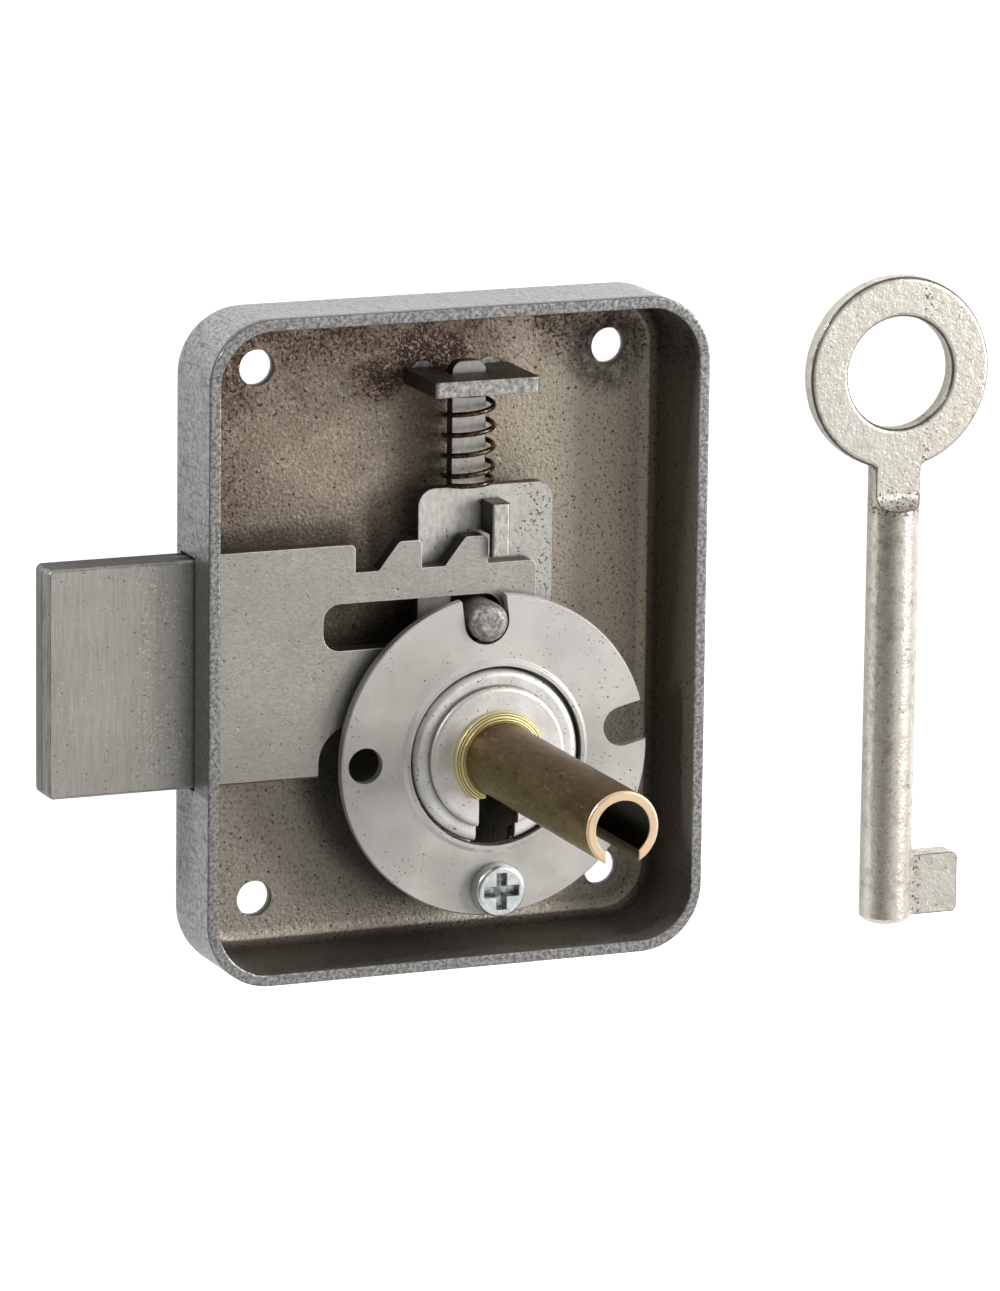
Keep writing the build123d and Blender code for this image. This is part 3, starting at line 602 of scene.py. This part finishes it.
# painted sheen: the side facing up the lock is rosy
rosy = tube.times(tube.between(tube.facing("Y"), 0.1, 0.8), 0.8)
tube_tone = tube.blend(rosy, tube_tone, tone(114, 90, 64))
olive = tube.grain(2.4, 4.0, 0.6, stretch=(1.0, 1.0, 0.5), seed=5.0)
olive = tube.times(tube.between(olive, 0.48, 0.62), tube.between(tube.facing("Y"), 0.7, -0.3, 0.0, 0.8))
tube_tone = tube.blend(olive, tube_tone, tone(112, 112, 62))
dark_scuffs = tube.grain(0.6, 4.0, 0.7, stretch=(1.0, 1.0, 0.4), seed=2.0)
tube_tone = tube.blend(tube.between(dark_scuffs, 0.5, 0.66, 0.0, 0.7), tube_tone, tone(74, 64, 38))
pale_scuffs = tube.grain(0.45, 3.0, 0.6, stretch=(1.0, 1.0, 0.3), seed=12.0)
tube_tone = tube.blend(tube.between(pale_scuffs, 0.56, 0.7, 0.0, 0.45), tube_tone, tone(170, 156, 112))
# the collar is turned, with fine rings
radius = tube.away_from(key_axis)
turned_rings = tube.maths("SINE", tube.times(radius, 21.0))
on_collar = tube.between(radius, tube_radius + 0.05, tube_radius + 0.15)
on_collar = tube.times(on_collar, tube.along("Z", collar_top, collar_top - 0.2))
collar_tone = tube.blend(tube.between(turned_rings, -0.6, 0.6), tone(146, 134, 88), tone(238, 226, 176))
tube_tone = tube.blend(on_collar, tube_tone, collar_tone)
# painted shade inside the bore
bore = tube.between(radius, tube_radius - 0.25, tube_radius - 0.75)
tube_tone = tube.blend(tube.times(bore, 0.8), tube_tone, tone(46, 40, 28))
cut_end = tube.along("Z", tube_top - 0.3, tube_top - 0.1)
tube.colour(tube.blend(cut_end, tube_tone, tone(228, 200, 166)))
tube.roughness(tube.between(bands, 0.3, 0.7, 0.36, 0.48))
tube.dents((tube.grain(0.6, 4.0, 0.65, seed=7.0), 0.02), (tube.times(turned_rings, on_collar), 0.03))
tube.put_on("key_tube")


# The cover screw is a small pan-head machine screw in bright bluish zinc.
# Its cross recess is painted dark in patches, as painted shade.
screw = Finish("bright zinc screw", 0.9, 0.24)
screw_low, screw_high = [corner * 1000 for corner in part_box("cover_screw")]
screw_middle = (screw_low + screw_high) / 2
screw_cloud = screw.grain(0.9, 3.0, 0.6)
screw_tone = screw.blend(screw.between(screw_cloud, 0.35, 0.65), tone(214, 220, 218), tone(244, 247, 245))
recess = screw.along("Z", screw_high.z - 0.1, screw_high.z - 0.4)
recess = screw.times(recess, screw.between(screw.away_from(screw_middle.xy), 2.6, 2.4))
recess_patches = screw.grain(0.9, 2.0, 0.5, seed=3.0)
recess = screw.times(recess, screw.between(recess_patches, 0.4, 0.6, 0.3, 0.85))
screw.colour(screw.blend(recess, screw_tone, tone(84, 96, 90)))
screw.dents((screw_cloud, 0.008))
screw.put_on("cover_screw")


# The key is a zinc casting with a thin nickel plate. Its skin is uneven, and its hollows are dull.
# The shank is painted brighter, a painted highlight, with grey stains where the plate has gone.
nickel = Finish("nickel plated casting", 0.72, 0.36)
neck_y = 8.6
shank_edge = 59.6
skin = nickel.grain(1.3, 4.0, 0.62)
fine_skin = nickel.grain(0.35, 2.0, 0.6, seed=4.0)
key_tone = nickel.blend(nickel.between(skin, 0.32, 0.66), tone(186, 180, 169), tone(216, 211, 201))
shank = nickel.along("Y", neck_y + 1.4, neck_y - 0.6)
shank = nickel.times(shank, nickel.along("X", shank_edge + 0.2, shank_edge - 0.2))
# painted highlight: the shank brighter
key_tone = nickel.blend(nickel.times(shank, 0.5), key_tone, tone(232, 224, 211))
stain = nickel.between(nickel.grain(1.6, 4.0, 0.7, seed=15.0), 0.48, 0.68, 0.0, 0.44)
key_tone = nickel.blend(nickel.times(shank, stain), key_tone, tone(128, 119, 108))
key_tone = nickel.blend(nickel.between(fine_skin, 0.36, 0.28, 0.0, 0.5), key_tone, tone(120, 112, 104))
key_tone = nickel.blend(nickel.times(nickel.specks(0.42, 0.17, 9.0), 0.55), key_tone, tone(84, 74, 64))
# the edges and the chamfer of the bow and the bit are painted dark, a painted reflection of dark
# surroundings
not_shank = nickel.along("Y", neck_y - 0.2, neck_y + 0.2)
not_shank = nickel.most(not_shank, nickel.along("X", shank_edge, shank_edge + 0.4, 0.0, 0.9))
facing_up = nickel.absolute(nickel.facing("Z"))
chamfer = nickel.times(nickel.between(facing_up, 0.92, 0.75), nickel.between(facing_up, 0.2, 0.45))
chamfer = nickel.times(chamfer, nickel.along("Y", neck_y + 4.4, neck_y + 5.6))
dark_edge_reflection = nickel.most(nickel.times(nickel.edges(0.3), not_shank), chamfer)
key_tone = nickel.blend(nickel.times(dark_edge_reflection, 0.85), key_tone, tone(50, 46, 40))
# pits in the scoop and at the root of the bit
in_scoop = nickel.times(
    nickel.along("Y", neck_y, neck_y + 0.8),
    nickel.along("Y", neck_y + 4.2, neck_y + 2.8),
)
bit_root = nickel.times(
    nickel.along("X", shank_edge - 0.3, shank_edge + 0.1),
    nickel.along("X", shank_edge + 1.6, shank_edge + 0.8),
)
rough_cast = nickel.most(in_scoop, bit_root)
cast_pits = nickel.times(nickel.specks(0.34, nickel.times(rough_cast, 0.42), 2.0), rough_cast)
nickel.colour(nickel.blend(nickel.times(cast_pits, 0.85), key_tone, tone(72, 54, 40)))
skin_roughness = nickel.between(skin, 0.3, 0.7, 0.42, 0.26)
nickel.roughness(nickel.maths("MULTIPLY_ADD", shank, -0.04, skin_roughness))
nickel.dents((skin, 0.06), (fine_skin, 0.04), edge=0.2)
nickel.put_on("key")


# Packed meshes are flat-shaded facets. Rounded skins read smoother with edges kept above 28 degrees.
# The spring's copy has no edges, so it is smooth all over.
sharp_from = math.radians(28)
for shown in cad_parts.values():
    shown.data.shade_smooth()
    shown.data.set_sharp_from_angle(angle=sharp_from)
coil.data.shade_smooth()
